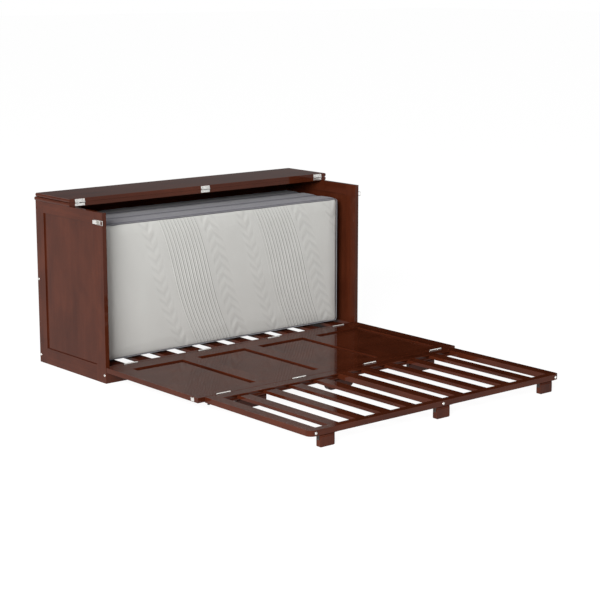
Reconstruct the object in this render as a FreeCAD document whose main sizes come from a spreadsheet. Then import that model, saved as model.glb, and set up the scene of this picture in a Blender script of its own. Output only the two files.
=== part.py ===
import FreeCAD, Part
import os
import re
import Sketcher

# A cabinet bed, opened out: a wooden cabinet whose front panel folds down and carries a slatted
# section that unfolds from it, with a lid that folds back and a mattress folded in three inside.
# X runs along the width, Y from the bed's end to the cabinet's back, Z up, all in millimetres.
# The origin is on the floor, under the middle of the opened bed.

doc = FreeCAD.newDocument("cabinet_bed")
dim = doc.addObject("Spreadsheet::Sheet", "dim")

sizeList = [
    # the mattress, folded in three and standing on edge
    ("mattressWide", 1524, "along the cabinet"),
    ("mattressHigh", 698, "one fold"),
    ("mattressThick", 150, "one fold"),
    ("mattressUp", 0.4, "over the slats"),
    ("foldGap", 0.6, "between the folds"),
    ("mattressCrown", 5, "rise of each broad side"),
    ("mattressRound", 20, "edges"),
    # the cabinet, which is as large as the mattress and the folded deck need
    ("mattressPlay", 35, "mattress to each side"),
    ("mattressOver", 62.6, "mattress to the top of the sides"),
    ("mattressBehind", 48.8, "mattress to the back"),
    ("deckPlay", 37.8, "folded deck to the mattress"),
    ("sideThick", 22, "stiles and rails of the sides"),
    ("frontStile", 77, "width of a side's front stile"),
    ("backStile", 72, "width of a side's back stile"),
    ("topRail", 57, "height of a side's top rail"),
    ("bottomRail", 82, "height of a side's bottom rail"),
    ("fieldThick", 9, "recessed field of a side"),
    ("grooveDeep", 8, "groove that a field or tongue sits in"),
    ("groovePlay", 1, "free space at the bottom of a groove"),
    ("baseHigh", 80, "base rails, and the deck that is level with them"),
    ("baseRailThick", 19, "front base rail"),
    ("backRailThick", 20, "rails of the back"),
    ("backSet", 1, "the back lies this far inside the sides' back edges"),
    ("backRailHigh", 80, "middle rail of the back"),
    ("backRailUp", 433, "middle of the back's middle rail"),
    ("backTopHigh", 60, "top rail of the back"),
    ("backFieldThick", 6, "panels of the back"),
    ("ledgerWide", 20, "strips under the floor slats"),
    ("ledgerHigh", 30, "strips under the floor slats"),
    ("floorSlatWide", 70, "floor slats"),
    ("floorSlatThick", 15, "floor slats"),
    ("floorSlatDrop", 6, "slat tops below the base rails' top"),
    ("floorSlatInset", 83.3, "outermost slat's middle to the side"),
    ("floorSlatCount", 10, "slats"),
    ("slatPlay", 0.5, "slat ends to the rails"),
    ("boltLow", 40, "height of the low cabinet bolts"),
    ("boltRadius", 3, "bolt shank"),
    ("boltPlay", 0.1, "round a bolt shank"),
    ("boltHeadRadius", 6.5, "bolt head"),
    ("boltHeadHigh", 3, "bolt head"),
    ("boltReach", 38, "bolt in the piece it draws up"),
    # the top board and the lid
    ("topOver", 8, "overhang at each side"),
    ("topBack", 3, "overhang at the back"),
    ("topThick", 19.2, "fixed board"),
    ("topEdge", 280, "front plane to the hinged edges"),
    ("topRound", 8, "rounded edges"),
    ("lidGap", 0.8, "between the boards when folded back"),
    ("lidRest", 0.4, "free space under the closed lid"),
    ("lidOver", 43.6, "closed lid before the front plane"),
    # hinges, all with a barrel between two leaves screwed to the edges
    ("leafSet", 1.8, "pin to the face that a leaf lies on"),
    ("leafThick", 1.6, "leaf"),
    ("barrelRadius", 4.5, "barrel"),
    ("barrelPlay", 0.5, "round the barrel"),
    ("knucklePlay", 0.3, "between knuckles"),
    ("hingePinRadius", 2, "hinge pin"),
    ("hingePinPlay", 0.05, "round a hinge pin"),
    ("axisUp", 1, "deck hinge pins above the deck"),
    ("deckHingeLong", 80, "deck hinges"),
    ("deckHingeInset", 57, "outermost hinge's middle to the panel's stile"),
    ("deckHingeCount", 4, "hinges in a row"),
    ("deckLeafDrop", 18, "leaf below its pin"),
    ("lidHingeLong", 56, "lid hinges"),
    ("lidHingeInset", 54, "outermost hinge's middle to the side's face"),
    ("lidHingeCount", 3, "hinges in a row"),
    ("lidLeafDrop", 17, "leaf beyond its pin"),
    # the front panel, which is the first part of the deck
    ("panelInset", 1, "panel edge inside the cabinet's width"),
    ("panelThick", 24, "frame of the panel"),
    ("panelStile", 86, "end stiles"),
    ("hingeRail", 94, "rail at the cabinet"),
    ("farRail", 68, "rail at the slatted section"),
    ("mullion", 86, "upright between two fields"),
    ("mullionCount", 3, "mullions"),
    ("panelFieldThick", 10, "recessed fields"),
    ("foldPlay", 1.3, "barrels of the fold under the closed lid"),
    # the slatted section, which is the second part of the deck
    ("sectionInset", 38, "section edge inside the cabinet's width"),
    ("sectionThick", 26, "frame of the section"),
    ("sectionRail", 58, "side rails"),
    ("headRail", 58, "rail at the fold"),
    ("footRail", 36, "rail at the bed's end"),
    ("centreRail", 58, "rail down the middle"),
    ("footPlay", 12.2, "folded section over the base rails"),
    ("cornerRound", 28, "corners at the bed's end"),
    ("slatWide", 58, "section slats"),
    ("slatThick", 15, "section slats"),
    ("slatInset", 115, "outermost slat's middle to the side rail"),
    ("slatEach", 4, "slats on each side of the centre rail"),
    ("slatSeat", 10, "groove for the slat ends"),
    ("tenonThick", 12, "tongue of the head rail"),
    ("tenonShoulder", 10, "shoulder beside that tongue"),
    ("boltInset", 31, "outer section bolts from the section's edge"),
    ("padRadius", 6, "rubber pads"),
    ("padHigh", 9, "rubber pads"),
    ("padInset", 12, "pad from the section's edges"),
    # the legs, which fold flat under the section
    ("legThick", 24, "legs"),
    ("legPlay", 1, "leg to the rail over it"),
    ("footLegWide", 82, "legs at the bed's end"),
    ("footLegInset", 95, "outer legs' middle to the section's edge"),
    ("footLegRound", 6, "lower corners"),
    ("midLegWide", 172, "legs near the fold"),
    ("midLegInset", 238, "outer legs' middle to the section's edge"),
    ("midLegRound", 30, "lower corners"),
    ("midLegBack", 30, "pins beyond the fold's pin"),
    ("legPinRadius", 3, "leg pin"),
    ("legPinPlay", 0.08, "round a leg pin"),
    ("bracketThick", 2, "leg bracket"),
    ("bracketPlay", 0.5, "bracket to leg"),
    ("bracketWide", 18, "leg bracket along the deck"),
    ("bracketFoot", 18, "leg bracket out from the leg"),
    ("pinProud", 1, "leg pin beyond its brackets"),
    # the latches on the sides
    ("latchDown", 39.4, "middle of the latches to the top of the closed panel"),
    ("latchPivot", 41, "front plane to the lever's pin"),
    ("latchOut", 5.5, "side to the lever's pin"),
    ("latchPlateLong", 56, "plate"),
    ("latchPlateHigh", 18, "plate"),
    ("latchSheet", 1.5, "plate, ears, strike and lever"),
    ("latchEar", 6, "middle to an ear"),
    ("latchEarRound", 3.3, "rounded end of an ear"),
    ("latchNose", 2.9, "lever before its pin"),
    ("latchFlangeIn", 2.4, "lever's flanges inside its pin"),
    ("latchWeb", 3.6, "lever's pin to its web"),
    ("latchFlange", 8, "middle to a lever flange"),
    ("latchFlangeThick", 1.2, "lever flange"),
    ("latchLeverLong", 28, "lever beyond its pin"),
    ("latchCrank", 9, "lever's pin to the loop's"),
    ("latchPinRadius", 1.5, "lever's pin"),
    ("latchPinPlay", 0.06, "round the latch pins"),
    ("latchPinProud", 0.3, "lever's pin beyond the flanges"),
    ("wireRadius", 1.25, "loop"),
    ("wireOut", 10.4, "middle to the loop's legs"),
    ("loopLong", 59, "loop"),
    ("strikeLong", 24, "strike plate along the panel's edge"),
    ("strikeHigh", 18, "strike plate across the panel's edge"),
    ("strikeLip", 7.5, "lip out from the plate"),
]
for row, (name, size, note) in enumerate(sizeList, 1):
    dim.set("A%d" % row, name)
    dim.set("B%d" % row, str(size))
    dim.set("C%d" % row, note)
    dim.setAlias("B%d" % row, name)
doc.recompute()

# sizes that follow from the ones above
fits = {
    "width": "dim.mattressWide + 2 * (dim.mattressPlay + dim.sideThick)",
    "sideHigh": "dim.baseHigh - dim.floorSlatDrop + dim.mattressUp + dim.mattressHigh + dim.mattressOver",
    "foldedDeck": "dim.axisUp + dim.sectionThick + dim.legPlay + dim.legThick - dim.leafSet",
    "mattressFront": "fit.foldedDeck + dim.deckPlay",
    "mattressDeep": "3 * dim.mattressThick + 2 * dim.foldGap",
    "depth": "fit.mattressFront + fit.mattressDeep + dim.mattressBehind + dim.backRailThick + dim.backSet",
    "foldReach": "fit.sideHigh - dim.baseHigh - dim.axisUp + dim.leafSet - dim.barrelRadius - dim.foldPlay",
    "bedEnd": "2 * fit.foldReach + dim.axisUp - dim.leafSet - dim.footPlay",
    "lidDeep": "dim.topEdge - 2 * dim.leafSet + dim.lidOver",
    "floorSlatPitch": "2 * (%s - dim.floorSlatInset) / (dim.floorSlatCount - 1)" % (
        "fit.width / 2 - dim.sideThick"),
    "lidHingePitch": "2 * (fit.width / 2 - dim.lidHingeInset) / (dim.lidHingeCount - 1)",
    "deckHingePitch": "2 * (%s - dim.deckHingeInset) / (dim.deckHingeCount - 1)" % (
        "fit.width / 2 - dim.panelInset - dim.panelStile"),
    "slatPitch": "(%s - dim.slatInset) / dim.slatEach" % (
        "fit.width / 2 - dim.sectionInset - dim.sectionRail"),
    "footLegOut": "fit.width / 2 - dim.sectionInset - dim.footLegInset",
    "midLegOut": "fit.width / 2 - dim.sectionInset - dim.midLegInset",
    "latchUp": "dim.baseHigh + dim.axisUp + fit.foldReach - 2 * dim.leafSet - dim.latchDown",
}

# places that several pieces share, written with the sizes above
frontY = "(fit.bedEnd + dim.boltHeadHigh - fit.depth - dim.topBack) / 2"
sideIn = "(fit.width / 2 - dim.sideThick)"
axisZ = "(dim.baseHigh + dim.axisUp)"
backIn = "(fit.depth - dim.backSet - dim.backRailThick)"
slatTop = "(dim.baseHigh - dim.floorSlatDrop)"
lidAxisY = "(dim.topEdge - dim.leafSet)"
lidAxisZ = "(fit.sideHigh + dim.topThick + dim.lidGap / 2)"
panelOut = "(fit.width / 2 - dim.panelInset)"
panelIn = "(fit.width / 2 - dim.panelInset - dim.panelStile)"
panelNear = "(-2 * dim.leafSet)"
panelFar = "(dim.leafSet - fit.foldReach)"
railNear = "(-2 * dim.leafSet - dim.hingeRail)"
railFar = "(dim.leafSet - fit.foldReach + dim.farRail)"
panelMid = "dim.baseHigh - dim.panelThick / 2"
fieldWide = "((2 * %s - dim.mullionCount * dim.mullion) / (dim.mullionCount + 1))" % panelIn
sectionOut = "(fit.width / 2 - dim.sectionInset)"
sectionIn = "(fit.width / 2 - dim.sectionInset - dim.sectionRail)"
sectionHead = "(-fit.foldReach - dim.leafSet)"
headFront = "(-fit.foldReach - dim.leafSet - dim.headRail)"
footBack = "(dim.footRail - fit.bedEnd)"
sectionMid = "dim.baseHigh - dim.sectionThick / 2"
sectionLow = "(dim.baseHigh - dim.sectionThick)"
legAxisZ = "(dim.baseHigh - dim.sectionThick - dim.legPlay - dim.legThick / 2)"
footLegY = "(dim.legThick / 2 - fit.bedEnd)"
midLegY = "(-fit.foldReach - dim.midLegBack)"
boltHole = "(dim.boltRadius + dim.boltPlay)"
nodes = []


def full(formula):
    # writes each size that follows from others as the formula it stands for
    while "fit." in formula:
        formula = re.sub(r"fit\.(\w+)", lambda found: "(%s)" % fits[found.group(1)], formula)
    return formula


def value(formula):
    return float(dim.evalExpression(full(formula).replace("dim.", "")))


def bind(thing, **formulas):
    for name, formula in formulas.items():
        thing.setExpression(name.replace("_", "."), full(formula))


def newBody(label):
    body = doc.addObject("PartDesign::Body", "body_" + label)
    body.Label = label
    body.AllowCompound = True
    nodes.append(body)
    return body


def origin(body, role):
    return [f for f in body.Origin.OriginFeatures if f.Role == role][0]


def place(body, x="0", y="0", z="0"):
    bind(body, Placement_Base_x=x, Placement_Base_y="%s + %s" % (y, frontY), Placement_Base_z=z)


def newSketch(body, flat):
    sketch = body.newObject("Sketcher::SketchObject", body.Label + "_sketch")
    sketch.AttachmentSupport = [(origin(body, flat + "_Plane"), "")]
    sketch.MapMode = "FlatFace"
    return sketch


def pin(sketch, geo, end, u, v):
    # ties one point of the sketch to its two distances from the sketch's origin
    for kind, formula in (("DistanceX", u), ("DistanceY", v)):
        n = sketch.addConstraint(Sketcher.Constraint(kind, -1, 1, geo, end, value(formula)))
        sketch.setExpression("Constraints[%d]" % n, full(formula))


def rect(sketch, u0, u1, v0, v1):
    n = sketch.GeometryCount
    a, b, c, d = value(u0), value(u1), value(v0), value(v1)
    corners = [FreeCAD.Vector(*p) for p in ((a, c, 0), (b, c, 0), (b, d, 0), (a, d, 0))]
    for i in range(4):
        sketch.addGeometry(Part.LineSegment(corners[i], corners[(i + 1) % 4]), False)
    for i in range(4):
        sketch.addConstraint(Sketcher.Constraint("Coincident", n + i, 2, n + (i + 1) % 4, 1))
        way = "Horizontal" if i % 2 == 0 else "Vertical"
        sketch.addConstraint(Sketcher.Constraint(way, n + i))
    pin(sketch, n, 1, u0, v0)
    pin(sketch, n + 2, 1, u1, v1)


def extrude(body, kind, flat, rects, thick):
    # a pad or pocket of some rectangles, as much on one side of the plane as on the other
    sketch = newSketch(body, flat)
    for sides in rects:
        rect(sketch, *sides)
    feature = body.newObject("PartDesign::" + kind, body.Label + "_" + kind.lower())
    feature.Profile = sketch
    feature.SideType = "Symmetric"
    bind(feature, Length=thick)
    return feature


def board(label, flat, mid, sides, thick, tongue=None, grooves=(), slot="0", cheek=None):
    # a flat piece that lies in a plane; its tongue and grooves are in the middle of its thickness
    body = newBody(label)
    extrude(body, "Pad", flat, [sides], thick)
    if tongue:
        extrude(body, "Pad", flat, [tongue], cheek or slot)
    if grooves:
        extrude(body, "Pocket", flat, grooves, slot)
    place(body, **{{"YZ": "x", "XZ": "y", "XY": "z"}[flat]: mid})
    return body


turns = {
    "x": FreeCAD.Rotation(FreeCAD.Vector(0, 1, 0), 90),
    "y": FreeCAD.Rotation(FreeCAD.Vector(1, 0, 0), -90),
    "z": FreeCAD.Rotation(),
}


def rod(body, way, axis, radius, long, x="0", y="0", z="0"):
    # a cylinder that starts at a point and runs along an axis; way is Additive or Subtractive
    feature = body.newObject("PartDesign::%sCylinder" % way, body.Label + "_rod")
    feature.Placement = FreeCAD.Placement(FreeCAD.Vector(), turns[axis])
    bind(feature, Radius=radius, Height=long)
    bind(feature, Placement_Base_x=x, Placement_Base_y=y, Placement_Base_z=z)
    return feature


def block(body, x0, x1, y0, y1, z0, z1, way="Additive"):
    feature = body.newObject("PartDesign::%sBox" % way, body.Label + "_block")
    bind(feature, Length="%s - (%s)" % (x1, x0), Width="%s - (%s)" % (y1, y0))
    bind(feature, Height="%s - (%s)" % (z1, z0))
    bind(feature, Placement_Base_x=x0, Placement_Base_y=y0, Placement_Base_z=z0)
    return feature


def row(body, features, pitch, count):
    # repeats features along X; with none named, the whole body
    feature = body.newObject("PartDesign::LinearPattern", body.Label + "_row")
    feature.Originals = features
    feature.TransformMode = "Features" if features else "Whole shape"
    feature.Direction = (origin(body, "X_Axis"), [""])
    feature.Mode = "Spacing"
    bind(feature, Offset=pitch, Occurrences=count)
    body.Tip = feature
    return feature


def mirror(body):
    # repeats the whole body on the other side of the middle
    feature = body.newObject("PartDesign::Mirrored", body.Label + "_mirror")
    feature.Originals = []
    feature.TransformMode = "Whole shape"
    feature.MirrorPlane = (origin(body, "YZ_Plane"), [""])
    body.Tip = feature
    return feature


def roundEdges(body, radius, test):
    # rounds the edges whose bounding box, in the body's own frame, passes the test
    doc.recompute()
    base = body.Tip
    picked = []
    for n, edge in enumerate(base.Shape.Edges, 1):
        if test(edge.BoundBox):
            picked.append("Edge%d" % n)
    feature = body.newObject("PartDesign::Fillet", body.Label + "_round")
    feature.Base = (base, picked)
    bind(feature, Radius=radius)
    doc.recompute()
    return feature


def near(a, b):
    return abs(a - b) < 0.01


def thin(length):
    return length < 0.01


def barrelSeats(body, y, z, long, pitch, count):
    # the hollows for a row of hinge barrels, in a board's own frame
    start = "-(%s - 1) * %s / 2 - %s / 2 - dim.barrelPlay" % (count, pitch, long)
    hollow = "dim.barrelRadius + dim.barrelPlay"
    seat = rod(body, "Subtractive", "x", hollow, "%s + 2 * dim.barrelPlay" % long, start, y, z)
    return row(body, [seat], pitch, count)


# ---- the two sides: a frame of stiles and rails round a recessed field
for name, side in (("left", -1), ("right", 1)):
    mid = "%d * (fit.width / 2 - dim.sideThick / 2)" % side
    through = "dim.sideThick + 2"
    start = "-dim.sideThick / 2 - 1"
    bolt = {"long": through, "x": start}
    body = board(
        name + "_front_stile", "YZ", mid, ("0", "dim.frontStile", "0", "fit.sideHigh"), "dim.sideThick",
        grooves=[("dim.frontStile - dim.grooveDeep", "dim.frontStile + 1", "-1", "fit.sideHigh + 1")],
        slot="dim.fieldThick",
    )
    rod(body, "Subtractive", "x", boltHole, y="dim.baseRailThick / 2", z="dim.boltLow", **bolt)
    body = board(
        name + "_back_stile", "YZ", mid,
        ("fit.depth - dim.backStile", "fit.depth", "0", "fit.sideHigh"), "dim.sideThick",
        grooves=[(
            "fit.depth - dim.backStile - 1", "fit.depth - dim.backStile + dim.grooveDeep",
            "-1", "fit.sideHigh + 1",
        )],
        slot="dim.fieldThick",
    )
    backBoltY = backIn + " + dim.backRailThick / 2"
    rod(body, "Subtractive", "x", boltHole, y=backBoltY, z="dim.boltLow", **bolt)
    rod(body, "Subtractive", "x", boltHole, y=backBoltY, z="dim.backRailUp", **bolt)
    near0, far0 = "dim.frontStile", "fit.depth - dim.backStile"
    near1 = "dim.frontStile - dim.grooveDeep + dim.groovePlay"
    far1 = "fit.depth - dim.backStile + dim.grooveDeep - dim.groovePlay"
    topLow = "fit.sideHigh - dim.topRail"
    board(
        name + "_top_rail", "YZ", mid, (near0, far0, topLow, "fit.sideHigh"), "dim.sideThick",
        tongue=(near1, far1, topLow + " + dim.grooveDeep", "fit.sideHigh"),
        grooves=[(near1 + " - 1", far1 + " + 1", topLow + " - 1", topLow + " + dim.grooveDeep")],
        slot="dim.fieldThick",
    )
    board(
        name + "_bottom_rail", "YZ", mid, (near0, far0, "0", "dim.bottomRail"), "dim.sideThick",
        tongue=(near1, far1, "0", "dim.bottomRail - dim.grooveDeep"),
        grooves=[(near1 + " - 1", far1 + " + 1", "dim.bottomRail - dim.grooveDeep", "dim.bottomRail + 1")],
        slot="dim.fieldThick",
    )
    board(
        name + "_side_field", "YZ", mid,
        (
            near1, far1, "dim.bottomRail - dim.grooveDeep + dim.groovePlay",
            topLow + " + dim.grooveDeep - dim.groovePlay",
        ),
        "dim.fieldThick",
    )

# ---- the back: three rails with two panels between them
backMid = backIn + " + dim.backRailThick / 2"
span = ("-" + sideIn, sideIn)
wide = ("-%s - 1" % sideIn, sideIn + " + 1")
railLow = "(dim.backRailUp - dim.backRailHigh / 2)"
railHigh = "(dim.backRailUp + dim.backRailHigh / 2)"
backTop = "(fit.sideHigh - dim.backTopHigh)"
baseRail = board(
    "back_base_rail", "XZ", backMid, span + ("0", "dim.baseHigh"), "dim.backRailThick",
    grooves=[wide + ("dim.baseHigh - dim.grooveDeep", "dim.baseHigh + 1")], slot="dim.backFieldThick",
)
middleRail = board(
    "back_middle_rail", "XZ", backMid, span + (railLow, railHigh), "dim.backRailThick",
    grooves=[
        wide + (railLow + " - 1", railLow + " + dim.grooveDeep"),
        wide + (railHigh + " - dim.grooveDeep", railHigh + " + 1"),
    ],
    slot="dim.backFieldThick",
)
board(
    "back_top_rail", "XZ", backMid, span + (backTop, "fit.sideHigh"), "dim.backRailThick",
    grooves=[wide + (backTop + " - 1", backTop + " + dim.grooveDeep")], slot="dim.backFieldThick",
)
panels = newBody("back_panels")
play = "dim.grooveDeep + dim.groovePlay"
reach = "dim.grooveDeep - dim.groovePlay"
extrude(
    panels, "Pad", "XZ",
    [
        span + ("dim.baseHigh - " + play, railLow + " + " + reach),
        span + (railHigh + " - " + play, backTop + " + " + reach),
    ],
    "dim.backFieldThick",
)
place(panels, y=backMid)

# ---- the base: a front rail, a strip behind each base rail, and the floor slats
frontRail = board(
    "base_front_rail", "XZ", "dim.baseRailThick / 2", span + ("0", "dim.baseHigh"), "dim.baseRailThick",
)
seatY = "-dim.baseRailThick / 2 - dim.leafSet"
barrelSeats(frontRail, seatY, axisZ, "dim.deckHingeLong", "fit.deckHingePitch", "dim.deckHingeCount")
ends = [(frontRail, "dim.boltLow"), (baseRail, "dim.boltLow"), (middleRail, "dim.backRailUp")]
for body, up in ends:
    for start in ("-%s - 1" % sideIn, sideIn + " - dim.boltReach"):
        rod(body, "Subtractive", "x", boltHole, "dim.boltReach + 1", x=start, z=up)
ledgers = newBody("slat_ledgers")
ledgerTop = slatTop + " - dim.floorSlatThick"
for y0, y1 in (
    ("dim.baseRailThick", "dim.baseRailThick + dim.ledgerWide"),
    (backIn + " - dim.ledgerWide", backIn),
):
    block(ledgers, "-" + sideIn, sideIn, y0, y1, ledgerTop + " - dim.ledgerHigh", ledgerTop)
place(ledgers)
slats = newBody("floor_slats")
firstSlat = "-(dim.floorSlatCount - 1) * fit.floorSlatPitch / 2"
extrude(
    slats, "Pad", "XY",
    [(
        firstSlat + " - dim.floorSlatWide / 2", firstSlat + " + dim.floorSlatWide / 2",
        "dim.baseRailThick + dim.slatPlay", backIn + " - dim.slatPlay",
    )],
    "dim.floorSlatThick",
)
row(slats, [], "fit.floorSlatPitch", "dim.floorSlatCount")
place(slats, z=slatTop + " - dim.floorSlatThick / 2")

# ---- the bolts that draw the sides against the base rails and the back's middle rail
bolts = newBody("cabinet_bolts")
shank = "dim.sideThick + dim.boltReach - 1"
for y, z in (
    ("dim.baseRailThick / 2", "dim.boltLow"),
    (backIn + " + dim.backRailThick / 2", "dim.boltLow"),
    (backIn + " + dim.backRailThick / 2", "dim.backRailUp"),
):
    rod(bolts, "Additive", "x", "dim.boltRadius", shank, "-fit.width / 2", y, z)
    head = "-fit.width / 2 - dim.boltHeadHigh"
    rod(bolts, "Additive", "x", "dim.boltHeadRadius", "dim.boltHeadHigh", head, y, z)
mirror(bolts)
place(bolts)

# ---- the fixed top board and the lid board, with rounded edges all round but at their hinges
for label, deep, low, thick in (
    ("fixed_top_board", "fit.depth + dim.topBack - dim.topEdge", "fit.sideHigh", "dim.topThick"),
    ("lid_board", "fit.lidDeep", "fit.sideHigh + dim.topThick + dim.lidGap", "(dim.topThick - dim.lidRest)"),
):
    over = "(fit.width / 2 + dim.topOver)"
    body = board(
        label, "XY", "%s + %s / 2" % (low, thick),
        ("-" + over, over, "dim.topEdge", "dim.topEdge + " + deep), thick,
    )
    edge = value("dim.topEdge")
    roundEdges(body, "dim.topRound", lambda b: b.YMax > edge + 0.01)
    seatZ = "%s - (%s + %s / 2)" % (lidAxisZ, low, thick)
    barrelSeats(body, lidAxisY, seatZ, "dim.lidHingeLong", "fit.lidHingePitch", "dim.lidHingeCount")


# ---- hinges: two leaves with three knuckles between them, and a pin
def hingeLeaf(label, long, pitch, count, drop, seat, way, outer, y, z):
    # seat is the side of the pin that the leaf lies on, way is up or down, and outer is true for
    # the leaf with the two end knuckles
    body = newBody(label)
    first = "(-(%s - 1) * %s / 2)" % (count, pitch)
    left = "%s - %s / 2" % (first, long)
    right = "%s + %s / 2" % (first, long)
    seatIn, seatOut = "(dim.leafSet - dim.leafThick)", "dim.leafSet"
    y0, y1 = (seatIn, seatOut) if seat > 0 else ("-dim.leafSet", "-" + seatIn)
    z0, z1 = ("0", drop) if way > 0 else ("-" + drop, "0")
    block(body, left, right, y0, y1, z0, z1)
    rod(body, "Additive", "x", "dim.barrelRadius", long, left)
    clear = "dim.barrelRadius + dim.barrelPlay"
    if outer:
        notches = [("%s - %s / 6 - dim.knucklePlay / 2" % (first, long), long + " / 3 + dim.knucklePlay")]
    else:
        cut = long + " / 3 + dim.knucklePlay / 2 + 1"
        notches = [(left + " - 1", cut), ("%s + %s / 6 - dim.knucklePlay / 2" % (first, long), cut)]
    for start, reach in notches:
        rod(body, "Subtractive", "x", clear, reach, start)
    bore = "dim.hingePinRadius + dim.hingePinPlay"
    rod(body, "Subtractive", "x", bore, long + " + 2", left + " - 1")
    row(body, [], pitch, count)
    place(body, y=y, z=z)
    return body


def hingePins(body, long, pitch, count, y, z):
    start = "-(%s - 1) * %s / 2 - %s / 2" % (count, pitch, long)
    one = rod(body, "Additive", "x", "dim.hingePinRadius", long, start, y, z)
    row(body, [one], pitch, count)


deckRow = ("dim.deckHingeLong", "fit.deckHingePitch", "dim.deckHingeCount")
lidRow = ("dim.lidHingeLong", "fit.lidHingePitch", "dim.lidHingeCount")
deckLeaf, lidLeaf = "dim.deckLeafDrop", "dim.lidLeafDrop"
hingeLeaf("lid_hinge_fixed_leaves", *lidRow, lidLeaf, 1, -1, True, lidAxisY, lidAxisZ)
hingeLeaf("lid_hinge_moving_leaves", *lidRow, lidLeaf, 1, 1, False, lidAxisY, lidAxisZ)
hingeLeaf("panel_hinge_fixed_leaves", *deckRow, deckLeaf, 1, -1, True, "-dim.leafSet", axisZ)
hingeLeaf("panel_hinge_moving_leaves", *deckRow, deckLeaf, -1, -1, False, "-dim.leafSet", axisZ)
hingeLeaf("fold_hinge_panel_leaves", *deckRow, deckLeaf, 1, -1, True, "-fit.foldReach", axisZ)
hingeLeaf("fold_hinge_section_leaves", *deckRow, deckLeaf, -1, -1, False, "-fit.foldReach", axisZ)
pins = newBody("cabinet_hinge_pins")
hingePins(pins, *lidRow, lidAxisY, lidAxisZ)
hingePins(pins, *deckRow, "-dim.leafSet", axisZ)
place(pins)
pins = newBody("fold_hinge_pins")
hingePins(pins, *deckRow, "-fit.foldReach", axisZ)
place(pins)

# ---- the front panel: two stiles, two rails and three mullions round four recessed fields
deep = (panelFar, panelNear)
tip = "(dim.grooveDeep - dim.groovePlay)"
for name, x0, x1, g0, g1 in (
    ("panel_left_stile", "-" + panelOut, "-" + panelIn, "-%s - dim.grooveDeep" % panelIn, "-%s + 1" % panelIn),
    ("panel_right_stile", panelIn, panelOut, panelIn + " - 1", panelIn + " + dim.grooveDeep"),
):
    board(
        name, "XY", panelMid, (x0, x1) + deep, "dim.panelThick",
        grooves=[(g0, g1, panelFar + " - 1", panelNear + " + 1")], slot="dim.panelFieldThick",
    )
across = ("-" + panelIn, panelIn)
tongueX = ("-%s - %s" % (panelIn, tip), "%s + %s" % (panelIn, tip))
grooveX = ("-%s - dim.grooveDeep" % panelIn, panelIn + " + dim.grooveDeep")
body = board(
    "panel_hinge_rail", "XY", panelMid, across + (railNear, panelNear), "dim.panelThick",
    tongue=tongueX + (railNear + " + dim.grooveDeep", panelNear),
    grooves=[grooveX + (railNear + " - 1", railNear + " + dim.grooveDeep")], slot="dim.panelFieldThick",
)
seatZ = "dim.axisUp + dim.panelThick / 2"
barrelSeats(body, "-dim.leafSet", seatZ, *deckRow)
body = board(
    "panel_far_rail", "XY", panelMid, across + (panelFar, railFar), "dim.panelThick",
    tongue=tongueX + (panelFar, railFar + " - dim.grooveDeep"),
    grooves=[grooveX + (railFar + " - dim.grooveDeep", railFar + " + 1")], slot="dim.panelFieldThick",
)
barrelSeats(body, "-fit.foldReach", seatZ, *deckRow)
m0 = "(-%s + %s)" % (panelIn, fieldWide)
m1 = "(-%s + %s + dim.mullion)" % (panelIn, fieldWide)
endsY = (railFar + " - 1 - dim.grooveDeep", railNear + " + 1 + dim.grooveDeep")
body = board(
    "panel_mullions", "XY", panelMid, (m0, m1, railFar, railNear), "dim.panelThick",
    tongue=(
        m0 + " + dim.grooveDeep", m1 + " - dim.grooveDeep",
        "%s - %s" % (railFar, tip), "%s + %s" % (railNear, tip),
    ),
    grooves=[
        (m0 + " - 1", m0 + " + dim.grooveDeep") + endsY,
        (m1 + " - dim.grooveDeep", m1 + " + 1") + endsY,
    ],
    slot="dim.panelFieldThick",
)
row(body, [], fieldWide + " + dim.mullion", "dim.mullionCount")
body = board(
    "panel_fields", "XY", panelMid,
    (
        "-%s - %s" % (panelIn, tip), "-%s + %s + %s" % (panelIn, fieldWide, tip),
        "%s - %s" % (railFar, tip), "%s + %s" % (railNear, tip),
    ),
    "dim.panelFieldThick",
)
row(body, [], fieldWide + " + dim.mullion", "dim.mullionCount + 1")

# ---- the slatted section: five rails and eight slats whose ends sit in grooves
seatTip = "(dim.slatSeat - dim.groovePlay)"
tenon = "(dim.grooveDeep - dim.groovePlay)"
shoulder = (headFront + " + dim.tenonShoulder", sectionHead + " - dim.tenonShoulder")
boltX = "(%s - dim.boltInset)" % sectionOut
boltSpan = {"radius": boltHole, "long": "dim.boltReach + 1"}
for name, x0, x1, p0, p1, x in (
    (
        "section_left_rail", "-" + sectionOut, "-" + sectionIn,
        "-%s - dim.grooveDeep" % sectionIn, "-%s + 1" % sectionIn, "-" + boltX,
    ),
    (
        "section_right_rail", sectionIn, sectionOut,
        sectionIn + " - 1", sectionIn + " + dim.grooveDeep", boltX,
    ),
):
    body = board(
        name, "XY", sectionMid, (x0, x1, footBack, sectionHead), "dim.sectionThick",
        grooves=[(p0, p1) + shoulder], slot="dim.tenonThick",
    )
    rod(body, "Subtractive", "y", x=x, y=footBack + " - 1", **boltSpan)
body = board(
    "section_head_rail", "XY", sectionMid,
    ("-" + sectionIn, sectionIn, headFront, sectionHead), "dim.sectionThick",
    tongue=("-%s - %s" % (sectionIn, tenon), "%s + %s" % (sectionIn, tenon)) + shoulder,
    grooves=[("-" + sectionIn, sectionIn, headFront + " - 1", headFront + " + dim.slatSeat")],
    slot="dim.slatThick", cheek="dim.tenonThick",
)
seatZ = "dim.axisUp + dim.sectionThick / 2"
barrelSeats(body, "-fit.foldReach", seatZ, *deckRow)
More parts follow.
